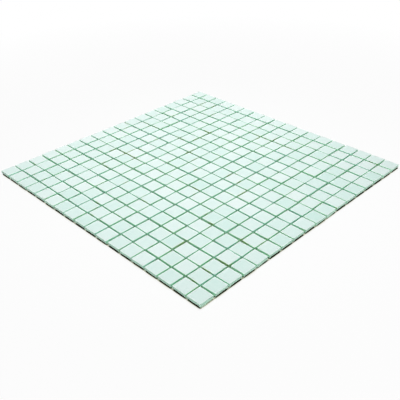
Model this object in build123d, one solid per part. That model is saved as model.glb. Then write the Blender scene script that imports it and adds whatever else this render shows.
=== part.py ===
"""Mosaic sheet: square pressed-glass tiles laid in a grid and glued to a laid net of flat yarns.

The sheet lies face up.  X runs along the rows of tiles, Y across them and Z out of the face.
The origin is in the middle of the sheet, on the surface that it lies on.
"""

import os

from build123d import *

# Driving dimensions, in millimetres
tiles_per_row = 18
row_count = 18
tile_side = 15.0
tile_thickness = 4.0
joint_width = 1.47
face_arris = 0.3
back_bevel_height = 1.4
back_bevel_inset = 0.3
yarns_per_tile = 3
yarn_width = 1.0
yarn_thickness = 0.35
net_edge_inset = 0.4

# Sizes that follow from them
tile_pitch = tile_side + joint_width
sheet_length = tiles_per_row * tile_pitch - joint_width
sheet_width = row_count * tile_pitch - joint_width
net_length = sheet_length - 2 * net_edge_inset
net_width = sheet_width - 2 * net_edge_inset
weft_level = yarn_thickness
tile_back_level = weft_level + yarn_thickness


def glass_tile():
    """One tile with its back at Z 0: eased edges round the face, and sides that draw in below."""
    blank = extrude(Rectangle(tile_side, tile_side), amount=tile_thickness)
    face = blank.faces().sort_by(Axis.Z)[-1]
    eased = chamfer(face.edges(), length=face_arris)
    back = eased.faces().sort_by(Axis.Z)[0]
    return chamfer(back.edges(), length=back_bevel_inset, length2=back_bevel_height, reference=back)


def tile_row(row):
    """The tiles of one row, side by side and a joint apart, counted from the -Y edge."""
    row_centre = (row - (row_count - 1) / 2) * tile_pitch
    seat = Location((0, row_centre, tile_back_level))
    return Compound(seat * GridLocations(tile_pitch, 0, tiles_per_row, 1) * glass_tile())


def even_spread(width, count):
    """The spacing of yarns that fill a width, with the outer ones flush with its edges."""
    return (width - yarn_width) / (count - 1)


def net_warp():
    """The yarns along X, which are the lower layer of the net."""
    yarn = extrude(Rectangle(net_length, yarn_width), amount=yarn_thickness)
    count = row_count * yarns_per_tile
    return Compound(GridLocations(0, even_spread(net_width, count), 1, count) * yarn)


def net_weft():
    """The yarns along Y, which lie on the warp and carry the tiles."""
    yarn = extrude(Rectangle(yarn_width, net_width), amount=yarn_thickness)
    count = tiles_per_row * yarns_per_tile
    seat = Location((0, 0, weft_level))
    return Compound(seat * GridLocations(even_spread(net_length, count), 0, count, 1) * yarn)


nodes = {"net_warp": net_warp(), "net_weft": net_weft()}
for row in range(row_count):
    nodes[f"tile_row_{row + 1:02d}"] = tile_row(row)

os.makedirs("parts", exist_ok=True)
for name, shape in nodes.items():
    export_step(shape, f"parts/{name}.step")
print(f"sheet {sheet_length:.2f} x {sheet_width:.2f} mm, {tile_back_level + tile_thickness:.2f} mm thick")
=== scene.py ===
import math
import random

import bmesh
import bpy
from mathutils import Matrix, Vector


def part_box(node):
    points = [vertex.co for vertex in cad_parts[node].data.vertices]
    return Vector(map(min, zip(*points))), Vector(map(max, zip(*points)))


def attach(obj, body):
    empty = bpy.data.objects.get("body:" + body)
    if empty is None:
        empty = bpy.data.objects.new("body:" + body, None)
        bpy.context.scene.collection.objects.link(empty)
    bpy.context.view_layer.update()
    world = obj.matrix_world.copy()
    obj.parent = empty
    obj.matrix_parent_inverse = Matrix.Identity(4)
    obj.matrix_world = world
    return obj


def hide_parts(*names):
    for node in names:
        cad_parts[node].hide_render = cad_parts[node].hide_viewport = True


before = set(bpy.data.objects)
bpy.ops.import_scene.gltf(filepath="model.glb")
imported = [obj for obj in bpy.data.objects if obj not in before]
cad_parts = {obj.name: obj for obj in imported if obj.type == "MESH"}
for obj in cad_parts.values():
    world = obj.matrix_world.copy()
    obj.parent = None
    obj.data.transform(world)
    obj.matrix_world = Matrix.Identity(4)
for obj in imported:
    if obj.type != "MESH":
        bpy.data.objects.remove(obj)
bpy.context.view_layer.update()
mm = 0.001
tiny = 0.01 * mm  # nearer than this counts as the same place

# the sheet's own sizes, read from its CAD nodes
rowNames = sorted(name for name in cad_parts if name.startswith("tile_row"))
firstLow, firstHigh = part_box(rowNames[0])
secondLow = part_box(rowNames[1])[0]
tileSide = firstHigh.y - firstLow.y
tilePitch = secondLow.y - firstLow.y
jointWidth = tilePitch - tileSide
tilesPerRow = round((firstHigh.x - firstLow.x + jointWidth) / tilePitch)
lastRow = len(rowNames) - 1
lastColumn = tilesPerRow - 1
backLevel = firstLow.z
faceLevel = firstHigh.z
tileThickness = faceLevel - backLevel
print(f"frame: {len(rowNames)} rows of {tilesPerRow} tiles, joint {jointWidth / mm:.2f} mm")


def onlySelect(piece):
    bpy.ops.object.select_all(action="DESELECT")
    piece.select_set(True)
    bpy.context.view_layer.objects.active = piece


# in edit mode: select the faces, edges or points that pass a test
def pick(piece, kind, test):
    bpy.ops.mesh.select_mode(type=kind)
    bpy.ops.mesh.select_all(action="DESELECT")
    cage = bmesh.from_edit_mesh(piece.data)
    for part in {"FACE": cage.faces, "EDGE": cage.edges, "VERT": cage.verts}[kind]:
        if test(part):
            part.select_set(True)
    cage.select_flush_mode()
    bmesh.update_edit_mesh(piece.data)


def applyModifier(piece, kind, **settings):
    added = piece.modifiers.new(kind.title(), kind)
    for name, value in settings.items():
        setattr(added, name, value)
    onlySelect(piece)
    bpy.ops.object.modifier_apply(modifier=added.name)


# a new object in the scene, round a copied mesh or a camera's data
def addObject(name, data):
    made = bpy.data.objects.new(name, data)
    bpy.context.collection.objects.link(made)
    return made


def joinPieces(name, pieces):
    bpy.ops.object.select_all(action="DESELECT")
    for piece in pieces:
        piece.select_set(True)
    bpy.context.view_layer.objects.active = pieces[0]
    bpy.ops.object.join()
    joined = bpy.context.object
    joined.name = name
    return joined


# one value for each point of a mesh, for the finishes to read
def setPoints(mesh, name, values):
    layer = mesh.attributes.new(name, "FLOAT", "POINT")
    layer.data.foreach_set("value", values)


# every node is added this way: sockets are linked, plain values are set
def addNode(tree, kind, inputs=None, **settings):
    made = tree.nodes.new("ShaderNode" + kind)
    for name, value in settings.items():
        setattr(made, name, value)
    for name, value in (inputs or {}).items():
        if isinstance(value, bpy.types.NodeSocket):
            tree.links.new(value, made.inputs[name])
        else:
            made.inputs[name].default_value = value
    return made


def mixColour(tree, amount, first, second):
    return addNode(tree, "Mix", {0: amount, 6: first, 7: second}, data_type="RGBA").outputs[2]


def maths(tree, work, first, second):
    return addNode(tree, "Math", {0: first, 1: second}, operation=work).outputs[0]


# a value moved from one range to another, and held at its ends
def ramp(tree, value, fromLow, fromHigh, toLow=0.0, toHigh=1.0):
    made = addNode(tree, "MapRange", {
        "Value": value, "From Min": fromLow, "From Max": fromHigh, "To Min": toLow, "To Max": toHigh})
    return made.outputs["Result"]


def readValue(tree, name):
    return addNode(tree, "Attribute", attribute_name=name).outputs["Fac"]


# an empty node group, with its entry sockets and its end sockets
def newGroup(name, inputs, outputs):
    group = bpy.data.node_groups.new(name, "ShaderNodeTree")
    for label, kind in inputs.items():
        group.interface.new_socket(name=label, in_out="INPUT", socket_type="NodeSocket" + kind)
    for label in outputs:
        group.interface.new_socket(name=label, in_out="OUTPUT", socket_type="NodeSocketFloat")
    return group, group.nodes.new("NodeGroupInput").outputs, group.nodes.new("NodeGroupOutput").inputs


def newMaterial(name):
    look = bpy.data.materials.new(name)
    look.use_nodes = True
    return look, look.node_tree, look.node_tree.nodes["Principled BSDF"]


# what every finish puts on its shader: colour, gloss and a fine relief
def putFinish(tree, shader, finish, colour, cloud, height):
    shader.inputs["Specular IOR Level"].default_value = finish["specular"]
    tree.links.new(colour, shader.inputs["Base Color"])
    tree.links.new(ramp(tree, cloud, 0, 1, *finish["roughness"]), shader.inputs["Roughness"])
    relief = addNode(tree, "Bump", {
        "Height": height, "Strength": finish["reliefStrength"], "Distance": finish["reliefDepth"]})
    tree.links.new(relief.outputs["Normal"], shader.inputs["Normal"])


# soft clouds, small light specks, dark pits and a fine height, shared by all the finishes
mottleShape = {
    "cloudDetail": 2.0,
    "cloudRange": (0.3, 0.7),
    "grainFiner": 9.0,
    "grainDetail": 1.0,
    "grainHeight": 0.3,
    "speckRange": (0.62, 0.70),
    "pitRange": (0.36, 0.28),
}


def makeMottle():
    inputs = {"Vector": "Vector", "Seed": "Float", "Scale": "Float"}
    group, entry, ends = newGroup("mottle", inputs, ("Cloud", "Speck", "Pit", "Height"))

    def noise(scale, detail):
        made = addNode(group, "TexNoise", {
            "Vector": entry["Vector"], "W": entry["Seed"], "Scale": scale, "Detail": detail},
            noise_dimensions="4D")
        return made.outputs["Fac"]

    cloud = noise(entry["Scale"], mottleShape["cloudDetail"])
    finer = maths(group, "MULTIPLY", entry["Scale"], mottleShape["grainFiner"])
    grain = noise(finer, mottleShape["grainDetail"])
    group.links.new(ramp(group, cloud, *mottleShape["cloudRange"]), ends["Cloud"])
    group.links.new(ramp(group, grain, *mottleShape["speckRange"]), ends["Speck"])
    group.links.new(ramp(group, grain, *mottleShape["pitRange"]), ends["Pit"])
    grainHeight = maths(group, "MULTIPLY", grain, mottleShape["grainHeight"])
    group.links.new(maths(group, "ADD", cloud, grainHeight), ends["Height"])
    return group


mottle = makeMottle()


def addMottle(tree, vector, seed, scale):
    values = {"Vector": vector, "Seed": seed, "Scale": scale}
    return addNode(tree, "Group", values, node_tree=mottle).outputs


# one pressed glass tile, with its back at the origin's level
tileShape = {
    "cornerRound": 0.6 * mm,
    "cornerSegments": 2,
    "faceArris": 0.36 * mm,
    "arrisSegments": 2,
    "rimWidth": 1.4 * mm,
    "bevelHeight": 1.8 * mm,
    "bevelInset": 0.3 * mm,
    "footCut": 2.8 * mm,
    "footCutInset": 0.6 * mm,
    "grooveCount": 3,
    "grooveWidth": 1.9 * mm,
    "grooveSlope": 0.35 * mm,
    "grooveDepth": 0.3 * mm,
    "sharpAngle": math.radians(50),
}

# the dark glue film round the foot of the sheet's outer tiles, with painted shade under their overhang,
# which stops short of their ends
glueShadeLook = {
    "dark": (0.006, 0.011, 0.002, 1),
    "brown": (0.024, 0.035, 0.008, 1),
    "inner": (0.58, 0.86, 0.68, 1),  # the clean feet inside the sheet
    "scale": 140,
    "seed": 3.0,
    "creep": (-0.1 * mm, 0.45 * mm),  # how far up from the waist
    "creepFrom": 0.1,
    "creepFade": 0.04 * mm,
    "endClear": 1.2 * mm,
    "endFade": 0.4 * mm,
    "bareShare": 0.05,
    "bareTile": (0, lastColumn),  # no glue film or painted shade on the +X side of the near corner tile
    "specular": 0.0,
    "roughness": (0.55, 0.8),
    "reliefStrength": 0.3,
    "reliefDepth": 0.1 * mm,
}
glueShadeFrom = jointWidth / 2 + glueShadeLook["endClear"]  # from the middle of a joint


# how far a place is from the middle of the nearest joint, along one axis
def fromJoint(tree, along, sheetEdge):
    place = maths(tree, "SUBTRACT", along, sheetEdge - jointWidth / 2)
    return maths(tree, "PINGPONG", place, tilePitch / 2)


# the glue film and its painted shade as they lie on the sheet's edges, from the marks of the sides that
# carry them
def makeGlueShadeMask():
    inputs = {"Vector": "Vector", "Glue Shade X": "Float", "Glue Shade Y": "Float"}
    group, entry, ends = newGroup("glueShadeMask", inputs, ("Mask",))
    axes = addNode(group, "SeparateXYZ", {"Vector": entry["Vector"]}).outputs
    fade = glueShadeLook["endFade"]
    films = []
    for side, along, sheetEdge in (("Glue Shade X", "Y", firstLow.y), ("Glue Shade Y", "X", firstLow.x)):
        distance = fromJoint(group, axes[along], sheetEdge)
        clear = ramp(group, distance, glueShadeFrom - fade, glueShadeFrom + fade)
        films.append(maths(group, "MULTIPLY", entry[side], clear))
    group.links.new(maths(group, "MAXIMUM", *films), ends["Mask"])
    return group


glueShadeMask = makeGlueShadeMask()


def addGlueShadeMask(tree, place):
    values = {"Vector": place, "Glue Shade X": readValue(tree, "glueShadeX"), "Glue Shade Y": readValue(tree, "glueShadeY")}
    return addNode(tree, "Group", values, node_tree=glueShadeMask).outputs["Mask"]


# the pressed glass: pale and glossy on the face, deeper green down the sides
glassLook = {
    "pale": (0.80, 0.937, 0.906, 1),
    "deep": (0.62, 0.872, 0.796, 1),
    # the rim's lighter colour is a painted highlight
    "rim": (0.86, 0.965, 0.94, 1),
    "rimShare": 0.8,
    "speck": (0.90, 0.97, 0.95, 1),
    "speckShare": 0.35,
    "pit": (0.52, 0.76, 0.68, 1),
    "pitShare": 0.35,
    # the bright joint greens carry painted light bounced between the glass walls
    "jointGreen": (0.53, 0.98, 0.65, 1),
    "jointBlue": (0.55, 0.98, 0.81, 1),
    "jointOlive": (0.36, 0.62, 0.22, 1),
    "edgeSide": (0.46, 0.77, 0.60, 1),
    "tileSeeds": 60,
    "cloudScale": 170,
    "cloudTone": 0.08,
    "oliveScale": 45,
    "oliveSeed": 2.0,
    "oliveRange": (0.72, 0.92),
    "oliveShare": 0.9,
    "ior": 1.5,
    "specular": 0.5,
    "roughness": (0.12, 0.22),
    "reliefStrength": 0.35,
    "reliefDepth": 0.05 * mm,
}


# the face has the tile's own tone, a lighter rim as a painted highlight, specks and pits
def faceColour(tree, spots):
    most = glassLook["cloudTone"]
    tone = maths(tree, "ADD", readValue(tree, "tone"), ramp(tree, spots["Cloud"], 0, 1, -most, most))
    colour = mixColour(tree, tone, glassLook["pale"], glassLook["deep"])
    marks = {"rim": readValue(tree, "rim"), "speck": spots["Speck"], "pit": spots["Pit"]}
    for mark, mask in marks.items():
        amount = maths(tree, "MULTIPLY", mask, glassLook[mark + "Share"])
        colour = mixColour(tree, amount, colour, glassLook[mark])
    return colour


# the sides are green or bluish in the joints, brighter and more saturated there as painted light bounced
# between the glass, with olive patches at random, and duller on the sheet's own edge
def sideColour(tree, place, hue):
    joint = mixColour(tree, hue, glassLook["jointGreen"], glassLook["jointBlue"])
    olivePatches = addMottle(tree, place, glassLook["oliveSeed"], glassLook["oliveScale"])
    olive = ramp(tree, olivePatches["Cloud"], *glassLook["oliveRange"], 0.0, glassLook["oliveShare"])
    joint = mixColour(tree, olive, joint, glassLook["jointOlive"])
    return mixColour(tree, readValue(tree, "outer"), joint, glassLook["edgeSide"])


# glue, darkened further as painted shade, creeps up the glass unevenly from the foot
def creptGlueShade(tree, place):
    film = addMottle(tree, place, glueShadeLook["seed"], glueShadeLook["scale"])
    waist = backLevel + tileShape["bevelHeight"]
    low, high = glueShadeLook["creep"]
    top = ramp(tree, film["Cloud"], glueShadeLook["creepFrom"], 1, waist + low, waist + high)
    height = addNode(tree, "SeparateXYZ", {"Vector": place}).outputs["Z"]
    above = maths(tree, "SUBTRACT", height, top)
    fade = glueShadeLook["creepFade"]
    return maths(tree, "MULTIPLY", ramp(tree, above, fade, -fade), addGlueShadeMask(tree, place))


def makeGlass():
    look, tree, shader = newMaterial("mintGlass")
    shader.inputs["IOR"].default_value = glassLook["ior"]
    place = addNode(tree, "TexCoord").outputs["Object"]
    hue = readValue(tree, "hue")
    seed = maths(tree, "MULTIPLY", hue, glassLook["tileSeeds"])  # no cloud runs on into the next tile
    spots = addMottle(tree, place, seed, glassLook["cloudScale"])
    face = faceColour(tree, spots)
    side = sideColour(tree, place, hue)
    clean = mixColour(tree, readValue(tree, "side"), face, side)
    colour = mixColour(tree, creptGlueShade(tree, place), clean, glueShadeLook["brown"])
    putFinish(tree, shader, glassLook, colour, spots["Cloud"], spots["Height"])
    return look


def makeGlueShade():
    look, tree, shader = newMaterial("glueShadeFilm")
    place = addNode(tree, "TexCoord").outputs["Object"]
    spots = addMottle(tree, place, glueShadeLook["seed"], glueShadeLook["scale"])
    film = mixColour(tree, spots["Cloud"], glueShadeLook["dark"], glueShadeLook["brown"])
    colour = mixColour(tree, addGlueShadeMask(tree, place), glueShadeLook["inner"], film)
    putFinish(tree, shader, glueShadeLook, colour, spots["Cloud"], spots["Height"])
    return look


# the rough pressed back, with glue smeared over it
backLook = {
    "glass": (0.50, 0.68, 0.60, 1),
    "smear": (0.62, 0.60, 0.47, 1),
    "scale": 110,
    "specular": 0.3,
    "roughness": (0.45, 0.75),
    "reliefStrength": 0.4,
    "reliefDepth": 0.15 * mm,
}


def makeBack():
    look, tree, shader = newMaterial("pressedBack")
    place = addNode(tree, "TexCoord").outputs["Object"]
    seed = maths(tree, "MULTIPLY", readValue(tree, "hue"), glassLook["tileSeeds"])
    spots = addMottle(tree, place, seed, backLook["scale"])
    colour = mixColour(tree, spots["Cloud"], backLook["glass"], backLook["smear"])
    putFinish(tree, shader, backLook, colour, spots["Cloud"], spots["Height"])
    return look


def onBack(face):
    return face.calc_center_median().z < tiny


def onFoot(face):
    return tiny < face.calc_center_median().z < tileShape["bevelHeight"]


# the sides draw in below the waist, and the upright corners are rounded
def drawInFoot(tile):
    bpy.ops.mesh.select_all(action="SELECT")
    bpy.ops.mesh.bisect(plane_co=(0, 0, tileShape["bevelHeight"]), plane_no=(0, 0, 1))
    pick(tile, "VERT", lambda v: v.co.z < tiny)
    drawIn = 1 - 2 * tileShape["bevelInset"] / tileSide
    bpy.ops.transform.resize(value=(drawIn, drawIn, 1))
    pick(tile, "EDGE", lambda e: abs(e.verts[0].co.z - e.verts[1].co.z) > tiny)
    bpy.ops.mesh.bevel(
        offset=tileShape["cornerRound"], segments=tileShape["cornerSegments"], affect="EDGES")


# the foot's corners are cut back further
def cutFootCorners(tile):
    reach = tileSide / 2 - tileShape["footCut"]
    for axis in (0, 1):
        for side in (-1, 1):
            normal = Vector((0, 0, 0))
            normal[axis] = side
            pick(tile, "FACE", lambda f: onFoot(f) and abs(f.calc_center_median()[axis]) < tiny)
            bpy.ops.mesh.bisect(plane_co=normal * reach, plane_no=normal)
    footCorner = tileSide / 2 - tileShape["bevelInset"] - tileShape["cornerRound"] - tiny
    pick(tile, "VERT", lambda v: v.co.z < tiny and min(abs(v.co.x), abs(v.co.y)) > footCorner)
    cutBack = 1 - tileShape["footCutInset"] / (tileSide / 2)
    bpy.ops.transform.resize(value=(cutBack, cutBack, 1))


# an eased edge round the face, and a rim inside it
def easeFace(tile):
    pick(tile, "EDGE", lambda e: min(v.co.z for v in e.verts) > tileThickness - tiny)
    bpy.ops.mesh.bevel(
        offset=tileShape["faceArris"], segments=tileShape["arrisSegments"], affect="EDGES")
    pick(tile, "FACE", lambda f: min(v.co.z for v in f.verts) > tileThickness - tiny)
    bpy.ops.mesh.extrude_region()
    rimInside = 1 - tileShape["rimWidth"] / (tileSide / 2 - tileShape["faceArris"])
    bpy.ops.transform.resize(value=(rimInside, rimInside, 1))


# glue film with painted shade on the drawn-in foot, a rough finish on the back
def coatFoot(tile):
    for finish, test in (("glueShadeFilm", onFoot), ("pressedBack", onBack)):
        pick(tile, "FACE", test)
        tile.active_material_index = tile.material_slots.find(finish)
        bpy.ops.object.material_slot_assign()


# shallow grooves across the back
def grooveBack(tile):
    count = tileShape["grooveCount"]
    spacing = (tileSide - 2 * tileShape["bevelInset"]) / count
    middles = [(k - (count - 1) / 2) * spacing for k in range(count)]
    halfGroove = tileShape["grooveWidth"] / 2
    for middle in middles:
        for edge in (middle - halfGroove, middle + halfGroove):
            pick(tile, "FACE", onBack)
            bpy.ops.mesh.bisect(plane_co=(edge, 0, 0), plane_no=(1, 0, 0))
    pick(tile, "FACE", lambda f: onBack(f)
         and any(abs(f.calc_center_median().x - middle) < halfGroove for middle in middles))
    bpy.ops.mesh.inset(
        thickness=tileShape["grooveSlope"], depth=-tileShape["grooveDepth"], use_individual=True)


def modelTile():
    bpy.ops.object.select_all(action="DESELECT")
    bpy.ops.mesh.primitive_cube_add(size=1, location=(0, 0, tileThickness / 2))
    tile = bpy.context.object
    tile.name = "tilePattern"
    tile.scale = (tileSide, tileSide, tileThickness)
    bpy.ops.object.transform_apply(location=True, rotation=True, scale=True)
    for finish in (makeGlass(), makeGlueShade(), makeBack()):
        tile.data.materials.append(finish)
    bpy.ops.object.mode_set(mode="EDIT")
    drawInFoot(tile)
    cutFootCorners(tile)
    easeFace(tile)
    coatFoot(tile)
    grooveBack(tile)
    bpy.ops.object.mode_set(mode="OBJECT")
    # the rim, which takes a painted highlight, and the sides are marked on their points, so that both
    # fade in from the face
    inside = tileSide / 2 - tileShape["faceArris"] - tileShape["rimWidth"] + tiny
    points = [point.co for point in tile.data.vertices]
    setPoints(tile.data, "rim", [float(max(abs(p.x), abs(p.y)) > inside) for p in points])
    setPoints(tile.data, "side", [float(p.z < tileThickness - tiny) for p in points])
    print(f"tile: {len(tile.data.polygons)} faces")
    return tile


# how the tiles lie on the net: each a little off its place, off square and with its own tone
tileLay = {
    "seed": 41,
    "lineSlip": 0.2 * mm,
    "slip": 0.38 * mm,
    "turn": math.radians(1.3),
    "tilt": math.radians(0.3),
    "corner": 0.09 * mm,
    "toneShape": (2, 3),  # more tiles are pale than deep
    "edgeReach": 0.2 * mm,  # the middle of a rounded corner counts as edge
}
chance = random.Random(tileLay["seed"])


def spread(limit):
    return chance.uniform(-limit, limit)


columnSlips = [spread(tileLay["lineSlip"]) for column in range(tilesPerRow)]
rowSlips = [spread(tileLay["lineSlip"]) for name in rowNames]


# for each point of a tile, whether it is on the sheet's own edge, on an X side and on a Y side
def edgePoints(mesh, row, column):
    onX = []
    onY = []
    for point in mesh.vertices:
        x, y, z = point.co
        reach = tileSide / 2 - tileLay["edgeReach"]
        if z < tiny:
            reach -= tileShape["bevelInset"] + tileShape["footCutInset"]
        onX.append((column == 0 and x < -reach) or (column == lastColumn and x > reach))
        onY.append((row == 0 and y < -reach) or (row == lastRow and y > reach))
    return onX, onY


# each corner moves a little, and the points between them follow
def bendOutline(mesh):
    half = tileSide / 2
    limit = tileLay["corner"]
    moves = {(sx, sy): (spread(limit), spread(limit)) for sx in (-1, 1) for sy in (-1, 1)}
    for point in mesh.vertices:
        across = point.co.x / half
        along = point.co.y / half
        for (sx, sy), (dx, dy) in moves.items():
            share = (1 + sx * across) * (1 + sy * along) / 4
            point.co.x += share * dx
            point.co.y += share * dy


# one copy of the tile with its own outline, place and tone
def layTile(pattern, row, column, middle):
    mesh = pattern.data.copy()
    onX, onY = edgePoints(mesh, row, column)
    # whether each outer side gets the glue film with its painted shade
    glueShadeOnX = chance.random() > glueShadeLook["bareShare"] and (row, column) != glueShadeLook["bareTile"]
    glueShadeOnY = chance.random() > glueShadeLook["bareShare"]
    bendOutline(mesh)
    turn = Matrix.Rotation(spread(tileLay["turn"]), 4, "Z")
    tiltX = Matrix.Rotation(spread(tileLay["tilt"]), 4, "X")
    tiltY = Matrix.Rotation(spread(tileLay["tilt"]), 4, "Y")
    slipX = columnSlips[column] + spread(tileLay["slip"])
    slipY = rowSlips[row] + spread(tileLay["slip"])
    place = Matrix.Translation(middle + Vector((slipX, slipY, 0)))
    mesh.transform(place @ tiltX @ tiltY @ turn)
    setPoints(mesh, "tone", [chance.betavariate(*tileLay["toneShape"])] * len(onX))
    setPoints(mesh, "hue", [chance.random()] * len(onX))
    setPoints(mesh, "outer", [float(x or y) for x, y in zip(onX, onY)])
    setPoints(mesh, "glueShadeX", [float(x and glueShadeOnX) for x in onX])
    setPoints(mesh, "glueShadeY", [float(y and glueShadeOnY) for y in onY])
    return addObject("tile", mesh)


def layRow(pattern, row, node):
    low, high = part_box(node)
    tiles = []
    for column in range(tilesPerRow):
        middle = Vector((low.x + tileSide / 2 + column * tilePitch, (low.y + high.y) / 2, backLevel))
        tiles.append(layTile(pattern, row, column, middle))
    glassRow = joinPieces(f"glassRow{row + 1:02d}", tiles)
    bpy.ops.object.shade_smooth_by_angle(angle=tileShape["sharpAngle"])
    applyModifier(glassRow, "WEIGHTED_NORMAL", keep_sharp=True)
    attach(glassRow, "root")
    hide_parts(node)


tilePattern = modelTile()
for row, node in enumerate(rowNames):
    layRow(tilePattern, row, node)
bpy.data.objects.remove(tilePattern)
print(f"rows laid: {len(rowNames)}")


# the net's yarns: flat bundles of glass fibre, stiffened with resin
yarnLook = {
    "soakedShadedPale": (0.030, 0.036, 0.010, 1),
    "soakedShadedDeep": (0.010, 0.012, 0.002, 1),
    "barePale": (0.78, 0.74, 0.62, 1),
    "bareShade": (0.58, 0.53, 0.41, 1),
    "bareCorner": 2.0 * mm,
    "fibreScale": 2600,
    "fibreStretch": 0.02,
    "fibreSeed": 5.0,
    "resinScale": 90,
    "resinSeed": 8.0,
    "specular": 0.08,
    "roughness": (0.75, 0.45),
    "reliefStrength": 0.6,
    "reliefDepth": 0.05 * mm,
}


# glue soaks the yarns under the tiles, and painted shade darkens them there too: they are bare in the
# joints, but not at the sheet's own edges
def soakedShadedYarn(tree, place):
    axes = addNode(tree, "SeparateXYZ", {"Vector": place}).outputs
    distances = []
    for axis, sheetEdge in (("X", firstLow.x), ("Y", firstLow.y)):
        outerMiddle = sheetEdge + tileSide / 2
        within = addNode(tree, "Clamp", {"Value": axes[axis], "Min": outerMiddle, "Max": -outerMiddle})
        distances.append(fromJoint(tree, within.outputs[0], sheetEdge))
    nearest = maths(tree, "MINIMUM", *distances)
    soakedAndShaded = ramp(tree, nearest, glueShadeFrom - glueShadeLook["endFade"], glueShadeFrom)
    # the near corner tile's +X side has no glue or painted shade under it
    deep = yarnLook["bareCorner"]
    edgeStrip = ramp(tree, axes["X"], -firstLow.x - deep, -firstLow.x - deep / 2)
    cornerTile = ramp(tree, axes["Y"], firstHigh.y, firstHigh.y - deep / 2)
    return maths(tree, "SUBTRACT", soakedAndShaded, maths(tree, "MULTIPLY", edgeStrip, cornerTile))


def makeYarn(name, stretch):
    look, tree, shader = newMaterial(name)
    place = addNode(tree, "TexCoord").outputs["Object"]
    along = addNode(tree, "Mapping", {"Vector": place, "Scale": stretch}).outputs["Vector"]
    fibres = addMottle(tree, along, yarnLook["fibreSeed"], yarnLook["fibreScale"])
    resin = addMottle(tree, place, yarnLook["resinSeed"], yarnLook["resinScale"])
    soakedShadedColour = mixColour(tree, fibres["Cloud"], yarnLook["soakedShadedDeep"], yarnLook["soakedShadedPale"])
    bare = mixColour(tree, fibres["Cloud"], yarnLook["bareShade"], yarnLook["barePale"])
    colour = mixColour(tree, soakedShadedYarn(tree, place), bare, soakedShadedColour)
    putFinish(tree, shader, yarnLook, colour, resin["Cloud"], fibres["Height"])
    return look


# a yarn lies a little crooked, and spreads where it crosses another
yarnShape = {
    "perTile": 3,
    "width": 1.0 * mm,
    "sides": 6,
    "stepsPerCrossing": 2,
    "wander": 0.10 * mm,
    "waves": (1.5, 4.0, 9.0),
    "swell": 0.12,
    "endTrim": 0.5 * mm,
    "sharpAngle": math.radians(70),
}


def modelYarn(length, width, thickness, crossings):
    bpy.ops.object.select_all(action="DESELECT")
    bpy.ops.mesh.primitive_cylinder_add(
        vertices=yarnShape["sides"], radius=width / 2, depth=length, rotation=(0, math.pi / 2, 0))
    yarn = bpy.context.object
    yarn.name = "yarnPattern"
    bpy.ops.object.transform_apply(location=True, rotation=True, scale=True)
    yarn.dimensions = (length, width, thickness)
    bpy.ops.object.transform_apply(location=True, rotation=True, scale=True)
    bpy.ops.object.mode_set(mode="EDIT")
    pick(yarn, "EDGE", lambda e: abs(e.verts[0].co.x - e.verts[1].co.x) > length / 2)
    bpy.ops.mesh.subdivide(number_cuts=crossings * yarnShape["stepsPerCrossing"] - 1)
    bpy.ops.object.mode_set(mode="OBJECT")
    return yarn


def layYarn(pattern, length, crossings, place):
    mesh = pattern.data.copy()
    phases = [chance.uniform(0, 2 * math.pi) for wave in yarnShape["waves"]]
    shorter = 1 - chance.random() * 2 * yarnShape["endTrim"] / length
    for point in mesh.vertices:
        share = point.co.x / length
        bend = sum(math.sin(2 * math.pi * wave * share + phase) / wave
                   for wave, phase in zip(yarnShape["waves"], phases))
        point.co.y *= 1 + yarnShape["swell"] * math.cos(2 * math.pi * crossings * share + phases[0])
        point.co.y += yarnShape["wander"] * bend
        point.co.x *= shorter
    mesh.transform(place)
    return addObject("yarn", mesh)


# one layer of the net: yarns side by side, turned to run along X or Y
def layNet(name, node, alongX, stretch):
    low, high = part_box(node)
    size = high - low
    middle = (low + high) / 2
    length, reach = (size.x, size.y) if alongX else (size.y, size.x)
    count = yarnShape["perTile"] * (len(rowNames) if alongX else tilesPerRow)
    width = yarnShape["width"]
    pattern = modelYarn(length, width, size.z, count)
    pattern.data.materials.append(makeYarn(name + "Look", stretch))
    turn = Matrix.Identity(4) if alongX else Matrix.Rotation(math.pi / 2, 4, "Z")
    yarns = []
    for k in range(count):
        across = (k / (count - 1) - 0.5) * (reach - width)
        offset = Vector((0, across, 0)) if alongX else Vector((across, 0, 0))
        yarns.append(layYarn(pattern, length, count, Matrix.Translation(middle + offset) @ turn))
    net = joinPieces(name, yarns)
    bpy.ops.object.shade_smooth_by_angle(angle=yarnShape["sharpAngle"])
    bpy.data.objects.remove(pattern)
    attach(net, "root")
    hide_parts(node)
    print(f"{name}: {count} yarns, {len(net.data.polygons)} faces")


fibreStretch = yarnLook["fibreStretch"]
layNet("netWarpYarns", "net_warp", True, (fibreStretch, 1, 1))
layNet("netWeftYarns", "net_weft", False, (1, fibreStretch, 1))

# a white floor, with a toned shadow where the sheet stands on it
floorLook = {
    "side": 6.0,
    "colour": (0.97, 0.97, 0.97, 1),
    "glow": (0.85, 1.0),
    "glowReach": (0.25, 0.6),
    "shadowReach": 5.0 * mm,
    "shadowSamples": 16,
    "shadowTones": {
        0.10: (0.030, 0.085, 0.045, 1),
        0.30: (0.080, 0.135, 0.065, 1),
        0.42: (0.560, 0.570, 0.400, 1),
        0.52: (0.970, 0.970, 0.880, 1),
        0.58: (1, 1, 1, 1),
    },
}


# 1 for what the camera sees, straight or in a reflection, and 0 for light that falls on the object
def seenRays(tree):
    path = addNode(tree, "LightPath").outputs
    mirrored = maths(tree, "MAXIMUM", path["Is Glossy Ray"], path["Is Transmission Ray"])
    return maths(tree, "MAXIMUM", path["Is Camera Ray"], mirrored)


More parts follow.
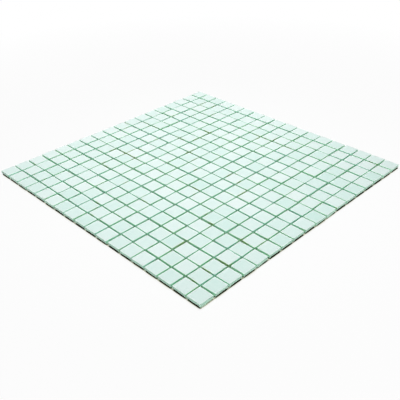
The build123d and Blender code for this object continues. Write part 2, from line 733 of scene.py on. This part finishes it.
# the narrow shadow's colours, by how much open sky a place on the floor has
def shadowColour(tree):
    openSky = addNode(tree, "AmbientOcclusion", {"Distance": floorLook["shadowReach"]},
                      samples=floorLook["shadowSamples"])
    tones = addNode(tree, "ValToRGB", {"Fac": openSky.outputs["AO"]})
    marks = tones.color_ramp.elements
    for stop, (place, colour) in enumerate(floorLook["shadowTones"].items()):
        mark = marks[0] if stop == 0 else marks.new(place)
        mark.position = place
        mark.color = colour
    marks.remove(marks[-1])
    return tones.outputs["Color"]


def makeFloor():
    bpy.ops.object.select_all(action="DESELECT")
    bpy.ops.mesh.primitive_plane_add(size=floorLook["side"])
    floor = bpy.context.object
    floor.name = "floor"
    look, tree, shader = newMaterial("whiteFloor")
    shader.inputs["Base Color"].default_value = floorLook["colour"]
    shader.inputs["Roughness"].default_value = 1
    shader.inputs["Specular IOR Level"].default_value = 0
    # seen white, and a little greyer near the sheet
    white = addNode(tree, "Emission", {"Color": shadowColour(tree)})
    place = addNode(tree, "TexCoord").outputs["Object"]
    fromSheet = addNode(tree, "VectorMath", {0: place}, operation="LENGTH").outputs["Value"]
    glow = ramp(tree, fromSheet, *floorLook["glowReach"], *floorLook["glow"])
    amount = maths(tree, "MULTIPLY", seenRays(tree), glow)
    both = addNode(tree, "MixShader", {0: amount, 1: shader.outputs[0], 2: white.outputs[0]})
    tree.links.new(both.outputs[0], tree.nodes["Material Output"].inputs["Surface"])
    floor.data.materials.append(look)


# plain soft light: a lamp overhead, and a weak low one on the side that the +X edges face
lightSetup = {
    "skyColour": (1, 1, 1, 1),
    "skyStrength": 0.30,
    "screenWay": (-0.70, 0.60, 0.40),
    "screenEdge": (0.92, 0.99),
    "screenGlow": (0.7, 2.0),
    "lamps": {
        "lampSoft": {"place": (0.015, -0.015, 0.75), "side": 0.4, "power": 3.75},
        "fillSoft": {"place": (1.0, 0.05, 0.22), "side": 0.3, "power": 1.0},
    },
}


# white to the eye, weak as light, and mirrored in the glass as a lit screen behind the sheet
def makeSky():
    world = bpy.data.worlds.new("studioSky")
    bpy.context.scene.world = world
    world.use_nodes = True
    tree = world.node_tree
    sky = tree.nodes["Background"]
    sky.inputs["Color"].default_value = lightSetup["skyColour"]
    path = addNode(tree, "LightPath").outputs
    way = addNode(tree, "TexCoord").outputs["Generated"]
    toScreen = addNode(tree, "VectorMath", {0: way, 1: lightSetup["screenWay"]}, operation="DOT_PRODUCT")
    screen = ramp(tree, toScreen.outputs["Value"], *lightSetup["screenEdge"], *lightSetup["screenGlow"])
    mirrored = addNode(tree, "Mix", {0: path["Is Glossy Ray"], 2: lightSetup["skyStrength"], 3: screen})
    seen = maths(tree, "MAXIMUM", path["Is Camera Ray"], path["Is Transmission Ray"])
    tree.links.new(maths(tree, "MAXIMUM", seen, mirrored.outputs[0]), sky.inputs["Strength"])


# each lamp is aimed at the middle of the sheet, and the glass doesn't mirror it
def makeLamps():
    for name, setting in lightSetup["lamps"].items():
        place = Vector(setting["place"])
        turn = (-place).to_track_quat("-Z", "Y").to_euler()
        bpy.ops.object.light_add(type="AREA", location=place, rotation=turn)
        lamp = bpy.context.object
        lamp.name = name
        lamp.data.size = setting["side"]
        lamp.data.energy = setting["power"]
        lamp.visible_glossy = False


# the photo's own view, from past the near corner
photoView = {
    "place": Vector((0.38045, -0.37438, faceLevel + 0.30182)),
    "aim": Vector((0.04419, -0.04401, faceLevel - 0.33 * mm)),
    "roll": math.radians(-1.17),
    "lens": 52.6,
}


def makeCamera():
    data = bpy.data.cameras.new("photoCamera")
    data.lens = photoView["lens"]
    camera = addObject("photoCamera", data)
    look = (photoView["aim"] - photoView["place"]).to_track_quat("-Z", "Y").to_matrix().to_4x4()
    roll = Matrix.Rotation(photoView["roll"], 4, "Z")
    camera.matrix_world = Matrix.Translation(photoView["place"]) @ look @ roll
    bpy.context.scene.camera = camera


makeFloor()
makeSky()
makeLamps()
makeCamera()
bpy.context.scene.view_settings.view_transform = "Standard"
print("studio ready")
